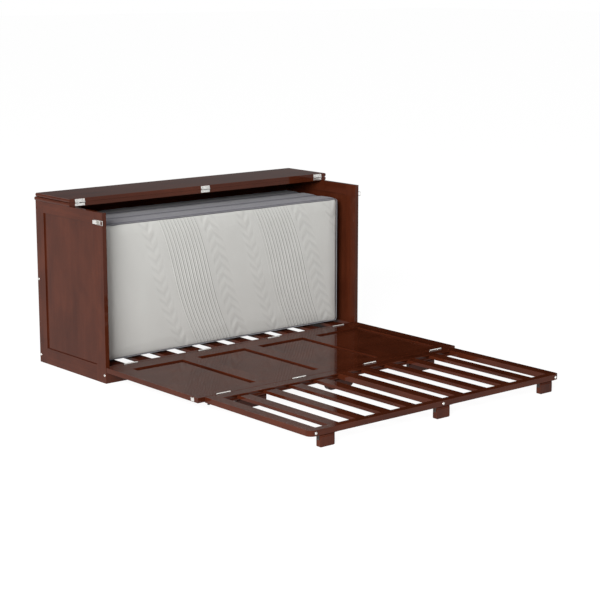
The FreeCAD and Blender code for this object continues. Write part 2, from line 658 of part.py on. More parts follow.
body = board(
    "section_foot_rail", "XY", sectionMid,
    ("-" + sectionOut, sectionOut, "-fit.bedEnd", footBack), "dim.sectionThick",
    grooves=[("-" + sectionIn, sectionIn, footBack + " - dim.slatSeat", footBack + " + 1")],
    slot="dim.slatThick",
)
end = value("-fit.bedEnd")
roundEdges(body, "dim.cornerRound", lambda b: near(b.YMin, end) and thin(b.YLength) and thin(b.XLength))
for x in ("-" + boltX, "0", boltX):
    rod(body, "Subtractive", "y", boltHole, "dim.footRail + 2", x=x, y="-fit.bedEnd - 1")
body = board(
    "section_centre_rail", "XY", sectionMid,
    ("-dim.centreRail / 2", "dim.centreRail / 2", footBack, headFront), "dim.sectionThick",
    tongue=(
        "-dim.centreRail / 2", "dim.centreRail / 2",
        "%s - %s" % (footBack, seatTip), "%s + %s" % (headFront, seatTip),
    ),
    slot="dim.slatThick",
)
rod(
    body, "Subtractive", "y", boltHole, "dim.boltReach + 1 + dim.slatSeat",
    y=footBack + " - 1 - dim.slatSeat",
)
body = board(
    "section_slats", "XY", sectionMid,
    (
        "-dim.slatEach * fit.slatPitch - dim.slatWide / 2", "-dim.slatEach * fit.slatPitch + dim.slatWide / 2",
        "%s - %s" % (footBack, seatTip), "%s + %s" % (headFront, seatTip),
    ),
    "dim.slatThick",
)
row(body, [], "fit.slatPitch", "dim.slatEach")
mirror(body)
body = newBody("section_bolts")
for x in ("-" + boltX, "0", boltX):
    rod(body, "Additive", "y", "dim.boltRadius", "dim.footRail + dim.boltReach - 1", x=x, y="-fit.bedEnd")
    rod(
        body, "Additive", "y", "dim.boltHeadRadius", "dim.boltHeadHigh",
        x=x, y="-fit.bedEnd - dim.boltHeadHigh",
    )
place(body, z=sectionMid)
body = newBody("corner_pads")
rod(
    body, "Additive", "z", "dim.padRadius", "dim.padHigh",
    "%s - dim.padInset" % sectionOut, "%s - dim.padInset" % sectionHead, "-dim.padHigh",
)
mirror(body)
place(body, z=sectionLow)


# ---- the legs, each on a pin between two brackets under a rail
brackets = newBody("leg_brackets")
legPins = newBody("leg_pins")
holeR = "dim.legPinRadius + dim.legPinPlay"
for name, out, half, rounding, y in (
    ("foot_leg", "fit.footLegOut", "dim.footLegWide / 2", "dim.footLegRound", footLegY),
    ("middle_leg", "fit.midLegOut", "dim.midLegWide / 2", "dim.midLegRound", midLegY),
):
    for where, side in (("left", -1), ("centre", 0), ("right", 1)):
        x = "(%d * %s)" % (side, out)
        x0, x1 = "%s - %s" % (x, half), "%s + %s" % (x, half)
        leg = board(
            "%s_%s" % (where, name), "XZ", y, (x0, x1, "0", legAxisZ + " + dim.legThick / 2"), "dim.legThick",
        )
        top = value(legAxisZ + " + dim.legThick / 2")
        roundEdges(leg, rounding, lambda b: thin(b.XLength) and thin(b.ZLength) and near(b.ZMin, 0))
        roundEdges(
            leg, "dim.legThick / 2 - 0.1",
            lambda b: thin(b.YLength) and thin(b.ZLength) and near(b.ZMin, top),
        )
        rod(leg, "Subtractive", "x", holeR, "2 * %s + 2" % half, x0 + " - 1", z=legAxisZ)
        rod(
            legPins, "Additive", "x", "dim.legPinRadius",
            "2 * (%s + dim.bracketPlay + dim.bracketThick + dim.pinProud)" % half,
            x0 + " - dim.bracketPlay - dim.bracketThick - dim.pinProud", y, legAxisZ,
        )
        ear = "%s + dim.bracketPlay" % half
        foot = "%s + dim.bracketPlay + dim.bracketFoot" % half
        yy = ("%s - dim.bracketWide / 2" % y, "%s + dim.bracketWide / 2" % y)
        low = "%s - dim.bracketWide / 2" % legAxisZ
        thick = "dim.bracketThick"
        block(brackets, "%s - (%s) - %s" % (x, ear, thick), "%s - (%s)" % (x, ear), *yy, low, sectionLow)
        block(brackets, "%s + %s" % (x, ear), "%s + %s + %s" % (x, ear, thick), *yy, low, sectionLow)
        plate = "%s - %s" % (sectionLow, thick)
        block(brackets, "%s - (%s)" % (x, foot), "%s - (%s)" % (x, ear), *yy, plate, sectionLow)
        block(brackets, "%s + %s" % (x, ear), "%s + %s" % (x, foot), *yy, plate, sectionLow)
        reach = "2 * (%s + dim.bracketPlay + dim.bracketThick + dim.pinProud)" % half
        rod(
            brackets, "Subtractive", "x", holeR, reach,
            x0 + " - dim.bracketPlay - dim.bracketThick - dim.pinProud", y, legAxisZ,
        )
place(brackets)
place(legPins)

# ---- the latches: a plate with two ears, a lever on a pin, and a wire loop on the lever
pinX = "(-fit.width / 2 - dim.latchOut)"
sideX = "(-fit.width / 2)"
skin = "dim.latchSheet"
plates = newBody("latch_plates")
y0 = "dim.latchPivot + dim.latchLeverLong - dim.latchPlateLong + 2"
half = "dim.latchPlateHigh / 2"
block(
    plates, "%s - %s" % (sideX, skin), sideX, y0, y0 + " + dim.latchPlateLong",
    "fit.latchUp - " + half, "fit.latchUp + " + half,
)
earY = ("dim.latchPivot - dim.latchEarRound", "dim.latchPivot + dim.latchEarRound")
for way in (-1, 1):
    z = "(fit.latchUp + %d * dim.latchEar)" % way
    low = "%s - %s / 2" % (z, skin)
    block(plates, pinX, sideX + " - " + skin + " / 2", *earY, low, "%s + %s / 2" % (z, skin))
    rod(plates, "Additive", "z", "dim.latchEarRound", skin, pinX, "dim.latchPivot", low)
latchHole = "dim.latchPinRadius + dim.latchPinPlay"
latchStart = "fit.latchUp - dim.latchFlange - dim.latchFlangeThick"
latchReach = "2 * (dim.latchFlange + dim.latchFlangeThick)"
rod(plates, "Subtractive", "z", latchHole, latchReach, pinX, "dim.latchPivot", latchStart)
mirror(plates)
place(plates)
latchPins = newBody("latch_pins")
pinHalf = "(dim.latchFlange + dim.latchFlangeThick / 2 + dim.latchPinProud)"
rod(
    latchPins, "Additive", "z", "dim.latchPinRadius", "2 * " + pinHalf,
    pinX, "dim.latchPivot", "fit.latchUp - " + pinHalf,
)
mirror(latchPins)
place(latchPins)
loopY = "(dim.latchPivot + dim.latchCrank)"
wireHole = "dim.wireRadius + dim.latchPinPlay"
for name, side in (("left", -1), ("right", 1)):
    lever = newBody(name + "_latch_lever")
    lever.Label = name + "_latch_lever"
    x = "%d * (fit.width / 2 + dim.latchOut)" % side
    web = "(%d * dim.latchWeb)" % side
    back = "(%d * (dim.latchWeb + %s))" % (side, skin)
    inner = "(%d * dim.latchFlangeIn)" % -side
    x0, x1 = (back, web) if side < 0 else (web, back)
    f0, f1 = (back, inner) if side < 0 else (inner, back)
    edge = "dim.latchFlange + dim.latchFlangeThick / 2"
    block(lever, x0, x1, "-dim.latchNose", "dim.latchLeverLong", "-(%s)" % edge, edge)
    for way in (-1, 1):
        z = "(%d * dim.latchFlange)" % way
        block(
            lever, f0, f1, "-dim.latchNose", "dim.latchCrank + 4",
            z + " - dim.latchFlangeThick / 2", z + " + dim.latchFlangeThick / 2",
        )
    rod(lever, "Subtractive", "z", latchHole, "2 * dim.wireOut", z="-dim.wireOut")
    rod(lever, "Subtractive", "z", wireHole, "2 * dim.wireOut", y="dim.latchCrank", z="-dim.wireOut")
    place(lever, x=x, y="dim.latchPivot", z="fit.latchUp")
    loop = newBody(name + "_latch_loop")
    for way in (-1, 1):
        z = "(%d * dim.wireOut)" % way
        rod(loop, "Additive", "y", "dim.wireRadius", "dim.loopLong", y="-dim.loopLong", z=z)
        inward = "dim.wireOut - dim.latchFlange + dim.latchFlangeThick / 2 + 0.2"
        start = "(%s)" % z if way < 0 else "%s - (%s)" % (z, inward)
        rod(loop, "Additive", "z", "dim.wireRadius", inward, z=start)
        for y in ("0", "-dim.loopLong"):
            ball = loop.newObject("PartDesign::AdditiveSphere", name + "_bend")
            bind(ball, Radius="dim.wireRadius", Placement_Base_y=y, Placement_Base_z=z)
    rod(loop, "Additive", "z", "dim.wireRadius", "2 * dim.wireOut", y="-dim.loopLong", z="-dim.wireOut")
    place(loop, x=x, y=loopY, z="fit.latchUp")
strikes = newBody("latch_strikes")
edgeX = "(-fit.width / 2 + dim.panelInset)"
midY = "(%s - fit.latchUp - dim.leafSet)" % axisZ
midZ = "(dim.baseHigh - dim.panelThick / 2)"
half = "dim.strikeLong / 2"
block(
    strikes, "%s - %s" % (edgeX, skin), edgeX, "%s - %s" % (midY, half), "%s + %s" % (midY, half),
    "%s - dim.strikeHigh / 2" % midZ, "%s + dim.strikeHigh / 2" % midZ,
)
lipZ = "(%s + dim.strikeHigh / 2 - %s)" % (midZ, skin)
block(
    strikes, "%s - %s - dim.strikeLip" % (edgeX, skin), edgeX + " - %s / 2" % skin,
    "%s - %s / 2" % (midY, half), "%s + %s / 2" % (midY, half), lipZ, lipZ + " + " + skin,
)
mirror(strikes)
place(strikes)


# ---- the mattress: three equal folds that stand on edge, each a crowned block with soft edges
def arcSide(sketch, a, b, bulge):
    # a shallow arc from corner a to corner b; bulge is its rise, to the right of the way it runs
    pa, pb = [FreeCAD.Vector(value(p[0]), value(p[1]), 0) for p in (a, b)]
    along = pb - pa
    out = FreeCAD.Vector(along.y, -along.x, 0).normalize()
    top = (pa + pb) * 0.5 + out * value(bulge)
    n = sketch.addGeometry(Part.Arc(pa, top, pb), False)
    return n


def crownedBlock(label, y):
    body = newBody(label)
    sketch = newSketch(body, "YZ")
    c = "dim.mattressCrown"
    y0, y1 = c, "dim.mattressThick - " + c
    z0, z1 = c, "dim.mattressHigh - " + c
    corners = [(y0, z0), (y1, z0), (y1, z1), (y0, z1)]
    for i in range(4):
        arcSide(sketch, corners[i], corners[(i + 1) % 4], c)
    for i in range(4):
        chord = "(%s - (%s))" % ((y1, y0) if i % 2 == 0 else (z1, z0))
        radius = "((%s)^2 / 4 + %s^2) / (2 * %s)" % (chord, c, c)
        sketch.addConstraint(Sketcher.Constraint("Coincident", i, 2, (i + 1) % 4, 1))
        n = sketch.addConstraint(Sketcher.Constraint("Radius", i, value(radius)))
        sketch.setExpression("Constraints[%d]" % n, full(radius))
    for i in range(4):
        pin(sketch, i, 1, *corners[i])
    pad = body.newObject("PartDesign::Pad", label + "_pad")
    pad.Profile = sketch
    pad.SideType = "Symmetric"
    bind(pad, Length="dim.mattressWide")
    roundEdges(body, "dim.mattressRound", lambda b: True)
    place(body, y=y, z=slatTop + " + dim.mattressUp")
    return body


step = "(dim.mattressThick + dim.foldGap)"
crownedBlock("mattress_front_fold", "fit.mattressFront")
crownedBlock("mattress_middle_fold", "fit.mattressFront + " + step)
crownedBlock("mattress_back_fold", "fit.mattressFront + 2 * " + step)

doc.recompute()

# ---- every object must have come out, and each piece is written under its own name
for thing in doc.Objects:
    if "Invalid" in thing.State or "Error" in thing.State:
        raise RuntimeError("%s failed: %s" % (thing.Label, thing.State))
os.makedirs("parts", exist_ok=True)
for body in nodes:
    shape = body.Shape
    if shape.isNull() or not shape.isValid() or not shape.Solids:
        raise RuntimeError("bad shape: " + body.Label)
    print("%-28s solids %2d volume %12.1f" % (body.Label, len(shape.Solids), shape.Volume))
    shape.exportStep("parts/%s.step" % body.Label)
print("pieces:", len(nodes), "solids:", sum(len(body.Shape.Solids) for body in nodes))
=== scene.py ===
import math
import bmesh
import bpy
from mathutils import Euler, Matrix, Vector, noise
from mathutils.bvhtree import BVHTree


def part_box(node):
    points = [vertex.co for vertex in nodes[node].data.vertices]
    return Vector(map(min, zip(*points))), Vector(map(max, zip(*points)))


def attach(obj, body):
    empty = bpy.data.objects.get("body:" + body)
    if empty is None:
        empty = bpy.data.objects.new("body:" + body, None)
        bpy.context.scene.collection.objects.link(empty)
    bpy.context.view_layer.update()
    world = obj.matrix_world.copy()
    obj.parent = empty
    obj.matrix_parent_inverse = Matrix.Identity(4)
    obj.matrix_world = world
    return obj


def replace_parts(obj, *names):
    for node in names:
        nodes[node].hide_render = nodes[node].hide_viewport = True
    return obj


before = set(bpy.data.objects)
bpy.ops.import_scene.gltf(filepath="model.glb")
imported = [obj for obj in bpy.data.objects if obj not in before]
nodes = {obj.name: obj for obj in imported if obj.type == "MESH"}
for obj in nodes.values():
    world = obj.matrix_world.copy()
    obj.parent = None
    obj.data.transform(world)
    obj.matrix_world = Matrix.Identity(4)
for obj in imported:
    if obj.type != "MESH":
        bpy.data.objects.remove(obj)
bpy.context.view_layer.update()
scene = bpy.context.scene
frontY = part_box("left_front_stile")[0].y  # the cabinet's front plane
print("frame loaded:", len(nodes), "nodes")


# small helpers for node trees

def addNode(tree, kind, **settings):
    node = tree.nodes.new(kind)
    for key, setting in settings.items():
        setattr(node, key, setting)
    return node


def plug(tree, source, socket):
    # links a socket, or sets a plain value or colour
    if isinstance(source, bpy.types.NodeSocket):
        tree.links.new(source, socket)
    else:
        socket.default_value = source + (1,) if socket.type == "RGBA" else source


def calc(tree, operation, a, b=0.0, c=0.0):
    node = addNode(tree, "ShaderNodeMath", operation=operation)
    for socket, source in zip(node.inputs, (a, b, c)):
        plug(tree, source, socket)
    return node.outputs[0]


def swing(tree, source, amount, base):
    # a pattern from 0 to 1 swings the base up and down by half the amount
    return calc(tree, "MULTIPLY_ADD", calc(tree, "SUBTRACT", source, 0.5), amount, base)


def remap(tree, source, low, high, newLow, newHigh):
    node = addNode(tree, "ShaderNodeMapRange", interpolation_type="SMOOTHSTEP")
    for socket, value in zip(node.inputs, (source, low, high, newLow, newHigh)):
        plug(tree, value, socket)
    return node.outputs[0]


def mixColor(tree, factor, a, b):
    node = addNode(tree, "ShaderNodeMix", data_type="RGBA")
    plug(tree, factor, node.inputs[0])
    plug(tree, a, node.inputs[6])
    plug(tree, b, node.inputs[7])
    return node.outputs[2]


def objectPlace(tree):
    return addNode(tree, "ShaderNodeTexCoord").outputs["Object"]


def split(tree, vector):
    apart = addNode(tree, "ShaderNodeSeparateXYZ")
    tree.links.new(vector, apart.inputs[0])
    return apart.outputs


def noiseOf(tree, vector, scale=1.0, detail=3.0, stretch=(1, 1, 1), distortion=0.0):
    mapping = addNode(tree, "ShaderNodeMapping")
    mapping.inputs["Scale"].default_value = stretch
    tree.links.new(vector, mapping.inputs["Vector"])
    node = addNode(tree, "ShaderNodeTexNoise")
    tree.links.new(mapping.outputs[0], node.inputs["Vector"])
    node.inputs["Scale"].default_value = scale
    node.inputs["Detail"].default_value = detail
    node.inputs["Distortion"].default_value = distortion
    return node.outputs[0]


socketKinds = {"vector": "NodeSocketVector", "color": "NodeSocketColor", "value": "NodeSocketFloat"}


def newGroup(name, inputs, outputs):
    tree = bpy.data.node_groups.new(name, "ShaderNodeTree")
    for label, kind in inputs:
        tree.interface.new_socket(name=label, in_out="INPUT", socket_type=socketKinds[kind])
    for label, kind in outputs:
        tree.interface.new_socket(name=label, in_out="OUTPUT", socket_type=socketKinds[kind])
    return tree, addNode(tree, "NodeGroupInput").outputs, addNode(tree, "NodeGroupOutput").inputs


def useGroup(tree, group, **sources):
    node = addNode(tree, "ShaderNodeGroup", node_tree=group)
    for name, source in sources.items():
        plug(tree, source, node.inputs[name])
    return node.outputs


def newMaterial(name, **constants):
    mat = bpy.data.materials.new(name)
    mat.use_nodes = True
    shader = mat.node_tree.nodes["Principled BSDF"]
    for socket, setting in constants.items():
        shader.inputs[socket.replace("_", " ")].default_value = setting
    return mat, mat.node_tree, shader


def bump(tree, shader, height, distance, normal=None):
    node = addNode(tree, "ShaderNodeBump")
    node.inputs["Distance"].default_value = distance
    tree.links.new(height, node.inputs["Height"])
    if normal:
        tree.links.new(normal, node.inputs["Normal"])
    tree.links.new(node.outputs[0], shader.inputs["Normal"])


# effects that several finishes share

grainLook = {
    "figure": {"stretch": (24, 24, 1.3), "detail": 6.0, "distortion": 0.5},
    "fibre": {"stretch": (340, 340, 7), "detail": 2.0},
    "cloud": {"stretch": (7.5, 7.5, 4.5), "detail": 5.0, "distortion": 0.4},
    "middle": 0.46, "cloudTone": 1.6, "fibreTone": 0.5,  # between the dark and the light colour
    "cloudGloss": 0.16, "fibreGloss": 0.05, "figureHeight": 0.35, "fibreHeight": 0.4,
}


def makeGrain():
    # grain runs along the vector's Z: broad figure, fine fibres and the clouds of a wiped stain
    look = grainLook
    tree, given, result = newGroup(
        "woodGrain",
        [("Vector", "vector"), ("Dark", "color"), ("Light", "color"), ("Figure", "value"),
         ("Gloss", "value")],
        [("Color", "color"), ("Roughness", "value"), ("Height", "value")],
    )
    figure = noiseOf(tree, given["Vector"], **look["figure"])
    fibre = noiseOf(tree, given["Vector"], **look["fibre"])
    cloud = noiseOf(tree, given["Vector"], **look["cloud"])
    figured = calc(tree, "MULTIPLY", calc(tree, "SUBTRACT", figure, 0.5), given["Figure"])
    mixed = calc(tree, "ADD", figured, swing(tree, cloud, look["cloudTone"], look["middle"]))
    clamped = addNode(tree, "ShaderNodeClamp")
    tree.links.new(swing(tree, fibre, look["fibreTone"], mixed), clamped.inputs[0])
    plug(tree, mixColor(tree, clamped.outputs[0], given["Dark"], given["Light"]), result["Color"])
    rough = swing(tree, cloud, look["cloudGloss"], given["Gloss"])
    plug(tree, calc(tree, "MULTIPLY_ADD", fibre, look["fibreGloss"], rough), result["Roughness"])
    high = calc(tree, "MULTIPLY", fibre, look["fibreHeight"])
    plug(tree, calc(tree, "MULTIPLY_ADD", figure, look["figureHeight"], high), result["Height"])
    return tree


edgeLook = {"samples": 6, "wornFrom": 0.01, "wornTo": 0.25}  # how far the eased normal turns away


def makeEdge():
    # eased edges: a rounded normal, and a mask where the finish is thin
    tree, given, result = newGroup(
        "easedEdge", [("Radius", "value"), ("Strength", "value")], [("Normal", "vector"), ("Mask", "value")]
    )
    eased = addNode(tree, "ShaderNodeBevel", samples=edgeLook["samples"])
    tree.links.new(given["Radius"], eased.inputs["Radius"])
    flat = addNode(tree, "ShaderNodeNewGeometry")
    dot = addNode(tree, "ShaderNodeVectorMath", operation="DOT_PRODUCT")
    tree.links.new(eased.outputs[0], dot.inputs[0])
    tree.links.new(flat.outputs["Normal"], dot.inputs[1])
    away = calc(tree, "SUBTRACT", 1.0, dot.outputs["Value"])
    wornOrLighterShade = remap(tree, away, edgeLook["wornFrom"], edgeLook["wornTo"], 0.0, 1.0)
    plug(tree, eased.outputs[0], result["Normal"])
    plug(tree, calc(tree, "MULTIPLY", wornOrLighterShade, given["Strength"]), result["Mask"])
    return tree


brushedLook = {
    "lines": {"stretch": (60, 900, 900)}, "cloud": {"scale": 90.0}, "lineGloss": 0.3, "cloudGloss": 0.2,
}


def makeBrushed():
    # fine scratches one way and a little cloudiness
    look = brushedLook
    tree, given, result = newGroup(
        "brushedMetal", [("Vector", "vector"), ("Gloss", "value")],
        [("Roughness", "value"), ("Height", "value")],
    )
    lines = noiseOf(tree, given["Vector"], **look["lines"])
    cloud = noiseOf(tree, given["Vector"], **look["cloud"])
    rough = swing(tree, lines, look["lineGloss"], given["Gloss"])
    plug(tree, swing(tree, cloud, look["cloudGloss"], rough), result["Roughness"])
    plug(tree, lines, result["Height"])
    return tree


knitLook = {"soft": {"scale": 6.0, "detail": 4.0}, "loopShade": 0.04}


def makeKnit():
    # close knitted cloth
    tree, given, result = newGroup(
        "knitCloth", [("Vector", "vector"), ("Pitch", "value")], [("Height", "value"), ("Shade", "value")]
    )
    x, y, z = split(tree, given["Vector"])
    turn = calc(tree, "DIVIDE", 2 * math.pi, given["Pitch"])
    across = calc(tree, "SINE", calc(tree, "MULTIPLY", calc(tree, "ADD", x, y), turn))
    up = calc(tree, "SINE", calc(tree, "MULTIPLY", calc(tree, "ADD", z, y), turn))
    loops = calc(tree, "MULTIPLY", across, up)
    plug(tree, loops, result["Height"])
    soft = noiseOf(tree, given["Vector"], **knitLook["soft"])
    plug(tree, calc(tree, "MULTIPLY_ADD", loops, knitLook["loopShade"], soft), result["Shade"])
    return tree


groups = {"grain": makeGrain(), "edge": makeEdge(), "brushed": makeBrushed(), "knit": makeKnit()}
print("shared effects made")

# the stained wood: one look for frames, one for recessed fields, one for slats
woodLook = {
    "frame": {
        "dark": (0.052, 0.0105, 0.0042), "light": (0.104, 0.0235, 0.0095),
        "figure": 0.9, "gloss": 0.3, "shift": 3.5,
    },
    "field": {
        "dark": (0.052, 0.011, 0.0045), "light": (0.1, 0.023, 0.0096),
        "figure": 0.7, "gloss": 0.3, "shift": 3.5,
    },
    "slat": {
        "dark": (0.052, 0.0105, 0.0042), "light": (0.1, 0.0215, 0.0085),
        "figure": 0.9, "gloss": 0.34, "shift": 2.8,
    },
    "edgeColor": (0.17, 0.042, 0.02), "edgeRadius": 0.0016, "edgeStrength": 0.6,
    "coat": 0.55, "coatRoughness": 0.06, "coatIor": 1.35, "relief": 0.00025,
}
# how the grain is turned to run along each axis, and where it starts
grainWay = {
    "x": {"turn": (0, math.pi / 2, 0), "start": (37.2, 0.4)},
    "y": {"turn": (math.pi / 2, 0, 0), "start": (37.51, 0.4)},
    "z": {"turn": (0, 0, 0), "start": (37.82, 0.4)},
}


def woodMaterial(kind, axis):
    look = woodLook[kind]
    mat, tree, shader = newMaterial(
        "stainedWood%s%s" % (kind.capitalize(), axis.upper()),
        Coat_Weight=woodLook["coat"], Coat_Roughness=woodLook["coatRoughness"],
        Coat_IOR=woodLook["coatIor"], Specular_IOR_Level=0.0,
    )
    turned = addNode(tree, "ShaderNodeMapping")
    turned.inputs["Rotation"].default_value = grainWay[axis]["turn"]
    turned.inputs["Location"].default_value = (look["shift"],) + grainWay[axis]["start"]
    tree.links.new(objectPlace(tree), turned.inputs["Vector"])
    grain = useGroup(
        tree, groups["grain"], Vector=turned.outputs[0], Dark=look["dark"], Light=look["light"],
        Figure=look["figure"], Gloss=look["gloss"],
    )
    edge = useGroup(tree, groups["edge"], Radius=woodLook["edgeRadius"], Strength=woodLook["edgeStrength"])
    color = mixColor(tree, edge["Mask"], grain["Color"], woodLook["edgeColor"])
    tree.links.new(color, shader.inputs["Base Color"])
    tree.links.new(grain["Roughness"], shader.inputs["Roughness"])
    bump(tree, shader, grain["Height"], woodLook["relief"], edge["Normal"])
    return mat


metalLook = {
    "color": (0.78, 0.77, 0.74), "wornOrLighterShade": (0.92, 0.92, 0.9), "gloss": 0.26,
    "edgeRadius": 0.0005, "edgeStrength": 0.5, "relief": 0.00003,
}


def metalMaterial():
    look = metalLook
    mat, tree, shader = newMaterial("satinSteel", Metallic=1.0)
    brushed = useGroup(tree, groups["brushed"], Vector=objectPlace(tree), Gloss=look["gloss"])
    edge = useGroup(tree, groups["edge"], Radius=look["edgeRadius"], Strength=look["edgeStrength"])
    wornOrLighterShade = mixColor(tree, edge["Mask"], look["color"], look["wornOrLighterShade"])
    tree.links.new(wornOrLighterShade, shader.inputs["Base Color"])
    tree.links.new(brushed["Roughness"], shader.inputs["Roughness"])
    bump(tree, shader, brushed["Height"], look["relief"], edge["Normal"])
    return mat


darkMetalLook = {
    "low": (0.022, 0.014, 0.011), "high": (0.05, 0.034, 0.028), "wornOrLighterShade": (0.16, 0.13, 0.11),
    "speck": {"scale": 260.0, "detail": 4.0}, "specular": 0.35, "roughness": (0.34, 0.52),
    "edgeRadius": 0.0005, "edgeStrength": 0.5, "relief": 0.00005,
}


def darkMetalMaterial():
    look = darkMetalLook
    mat, tree, shader = newMaterial("brownCoatedSteel", Specular_IOR_Level=look["specular"])
    speck = noiseOf(tree, objectPlace(tree), **look["speck"])
    edge = useGroup(tree, groups["edge"], Radius=look["edgeRadius"], Strength=look["edgeStrength"])
    coated = mixColor(tree, speck, look["low"], look["high"])
    tree.links.new(mixColor(tree, edge["Mask"], coated, look["wornOrLighterShade"]), shader.inputs["Base Color"])
    tree.links.new(remap(tree, speck, 0.2, 0.8, *look["roughness"]), shader.inputs["Roughness"])
    bump(tree, shader, speck, look["relief"], edge["Normal"])
    return mat


rubberLook = {
    "cleanOrDeepShade": (0.012, 0.012, 0.012), "dusty": (0.05, 0.048, 0.045), "dust": {"scale": 160.0, "detail": 4.0},
    "specular": 0.3, "roughness": (0.6, 0.9), "relief": 0.0002,
}


def rubberMaterial():
    look = rubberLook
    mat, tree, shader = newMaterial("blackRubber", Specular_IOR_Level=look["specular"])
    dust = noiseOf(tree, objectPlace(tree), **look["dust"])
    tree.links.new(mixColor(tree, dust, look["cleanOrDeepShade"], look["dusty"]), shader.inputs["Base Color"])
    tree.links.new(remap(tree, dust, 0.0, 1.0, *look["roughness"]), shader.inputs["Roughness"])
    bump(tree, shader, dust, look["relief"])
    return mat


# which way the grain runs in each wooden node, and which look it has
woodNodes = {
    ("frame", "z"): [
        "left_front_stile", "left_back_stile", "right_front_stile", "right_back_stile",
        "left_foot_leg", "centre_foot_leg", "right_foot_leg",
    ],
    ("frame", "y"): [
        "left_top_rail", "left_bottom_rail", "right_top_rail", "right_bottom_rail", "panel_left_stile",
        "panel_right_stile", "panel_mullions", "section_left_rail", "section_right_rail",
        "section_centre_rail",
    ],
    ("frame", "x"): [
        "back_base_rail", "back_middle_rail", "back_top_rail", "base_front_rail", "fixed_top_board",
        "lid_board", "panel_hinge_rail", "panel_far_rail", "section_head_rail", "section_foot_rail",
        "left_middle_leg", "centre_middle_leg", "right_middle_leg",
    ],
    ("field", "z"): ["left_side_field", "right_side_field"],
    ("field", "x"): ["back_panels", "panel_fields"],
    ("slat", "y"): ["floor_slats", "section_slats"],
    ("slat", "x"): ["slat_ledgers"],
}
finishes = {"steel": metalMaterial(), "darkSteel": darkMetalMaterial(), "rubber": rubberMaterial()}
finishOf = {
    "corner_pads": finishes["rubber"], "leg_brackets": finishes["darkSteel"],
    "leg_pins": finishes["darkSteel"],
}
for (kind, axis), names in woodNodes.items():
    mat = woodMaterial(kind, axis)
    for name in names:
        finishOf[name] = mat
for name, obj in nodes.items():
    obj.data.materials.clear()
    obj.data.materials.append(finishOf.get(name, finishes["steel"]))
    for face in obj.data.polygons:
        face.material_index = 0
print("wood, metal and rubber finishes placed")

# the quilting, as the cover's material and its mesh both use it
quiltLook = {
    "repeat": 0.6, "sway": 0.022, "swayLength": 0.9, "swayTurn": 0.7, "lean": 0.4, "offset": 5.592,
    "plainUntil": -0.36, "plainFade": 0.05, "plainMargin": 0.02,
    "lines": (0.06, 0.45),  # the band of fine lines, as shares of the repeat
    "line": 0.021, "lineWide": 0.6, "lineEdge": 0.01, "lineMiddle": 0.55, "lineShade": 0.36,
    "grooveWide": 0.009, "grooveDeep": 0.6,  # the sewn groove at each border of that band
    "leaves": ((0.57, 0.085, 0.55), (0.925, 0.07, -0.55)),  # middle, half width and slant of each leaf band
    "leaf": 0.056, "leafEdge": 0.02, "leafHigh": 0.22, "sunk": (-0.3, 0.1), "sunkShade": 0.42,
    "broadFrom": 0.8, "broadOver": 0.15,  # how squarely a face has to look forward or back
}


def makeQuilt():
    # lines that sway from top to bottom, in bands, with feathered bands beside them, and a mask of painted
    # shade that follows their relief
    look = quiltLook
    tree, given, result = newGroup(
        "swayingQuilt", [("Vector", "vector"), ("Repeat", "value"), ("Sway", "value")],
        [("Height", "value"), ("Mask", "value")],
    )
    apart = split(tree, given["Vector"])
    x, z = apart[0], apart[2]
    turn = 2 * math.pi
    leaning = calc(tree, "MULTIPLY", x, look["swayTurn"])
    phase = calc(tree, "MULTIPLY_ADD", z, turn / look["swayLength"], leaning)
    shift = calc(tree, "MULTIPLY", calc(tree, "SINE", phase), given["Sway"])
    along = calc(tree, "MULTIPLY_ADD", z, look["lean"], calc(tree, "ADD", x, shift))
    repeats = calc(tree, "DIVIDE", calc(tree, "ADD", along, look["offset"]), given["Repeat"])
    share = calc(tree, "FRACT", repeats)
    wave = calc(tree, "SINE", calc(tree, "MULTIPLY", along, math.pi / look["line"]))
    line = remap(tree, calc(tree, "ABSOLUTE", wave), 0.0, look["lineWide"], 0.0, 1.0)
    (first, last), soft = look["lines"], look["lineEdge"]
    begun = remap(tree, share, first - soft, first + soft, 0, 1)
    inLines = calc(tree, "MULTIPLY", begun, remap(tree, share, last - soft, last + soft, 1, 0))
    high = calc(tree, "MULTIPLY", calc(tree, "SUBTRACT", 1.0, line), inLines)
    for middle, half, slope in look["leaves"]:
        away = calc(tree, "ABSOLUTE", calc(tree, "SUBTRACT", share, middle))
        slant = calc(tree, "MULTIPLY_ADD", away, slope, z)
        leaf = calc(tree, "SINE", calc(tree, "MULTIPLY", slant, turn / look["leaf"]))
        inLeaf = remap(tree, away, half - look["leafEdge"], half, 1.0, 0.0)
        high = calc(tree, "MULTIPLY_ADD", calc(tree, "MULTIPLY", leaf, look["leafHigh"]), inLeaf, high)
    plain = look["plainUntil"]
    shown = remap(tree, along, plain, plain + look["plainFade"], 0.0, 1.0)
    high = calc(tree, "MULTIPLY", high, shown)
    plug(tree, high, result["Height"])
    # painted shade: the mask darkens the cloth between the raised lines and in the sunk parts of the relief,
    # and lightens it a little on the ridges
    shaded = calc(tree, "MULTIPLY", inLines, look["lineShade"])
    shadeBetweenLines = calc(tree, "MULTIPLY", calc(tree, "SUBTRACT", line, look["lineMiddle"]), shaded)
    low = remap(tree, high, *look["sunk"], look["sunkShade"], 0.0)
    plug(tree, calc(tree, "MULTIPLY", calc(tree, "ADD", low, shadeBetweenLines), shown), result["Mask"])
    return tree


groups["quilt"] = makeQuilt()

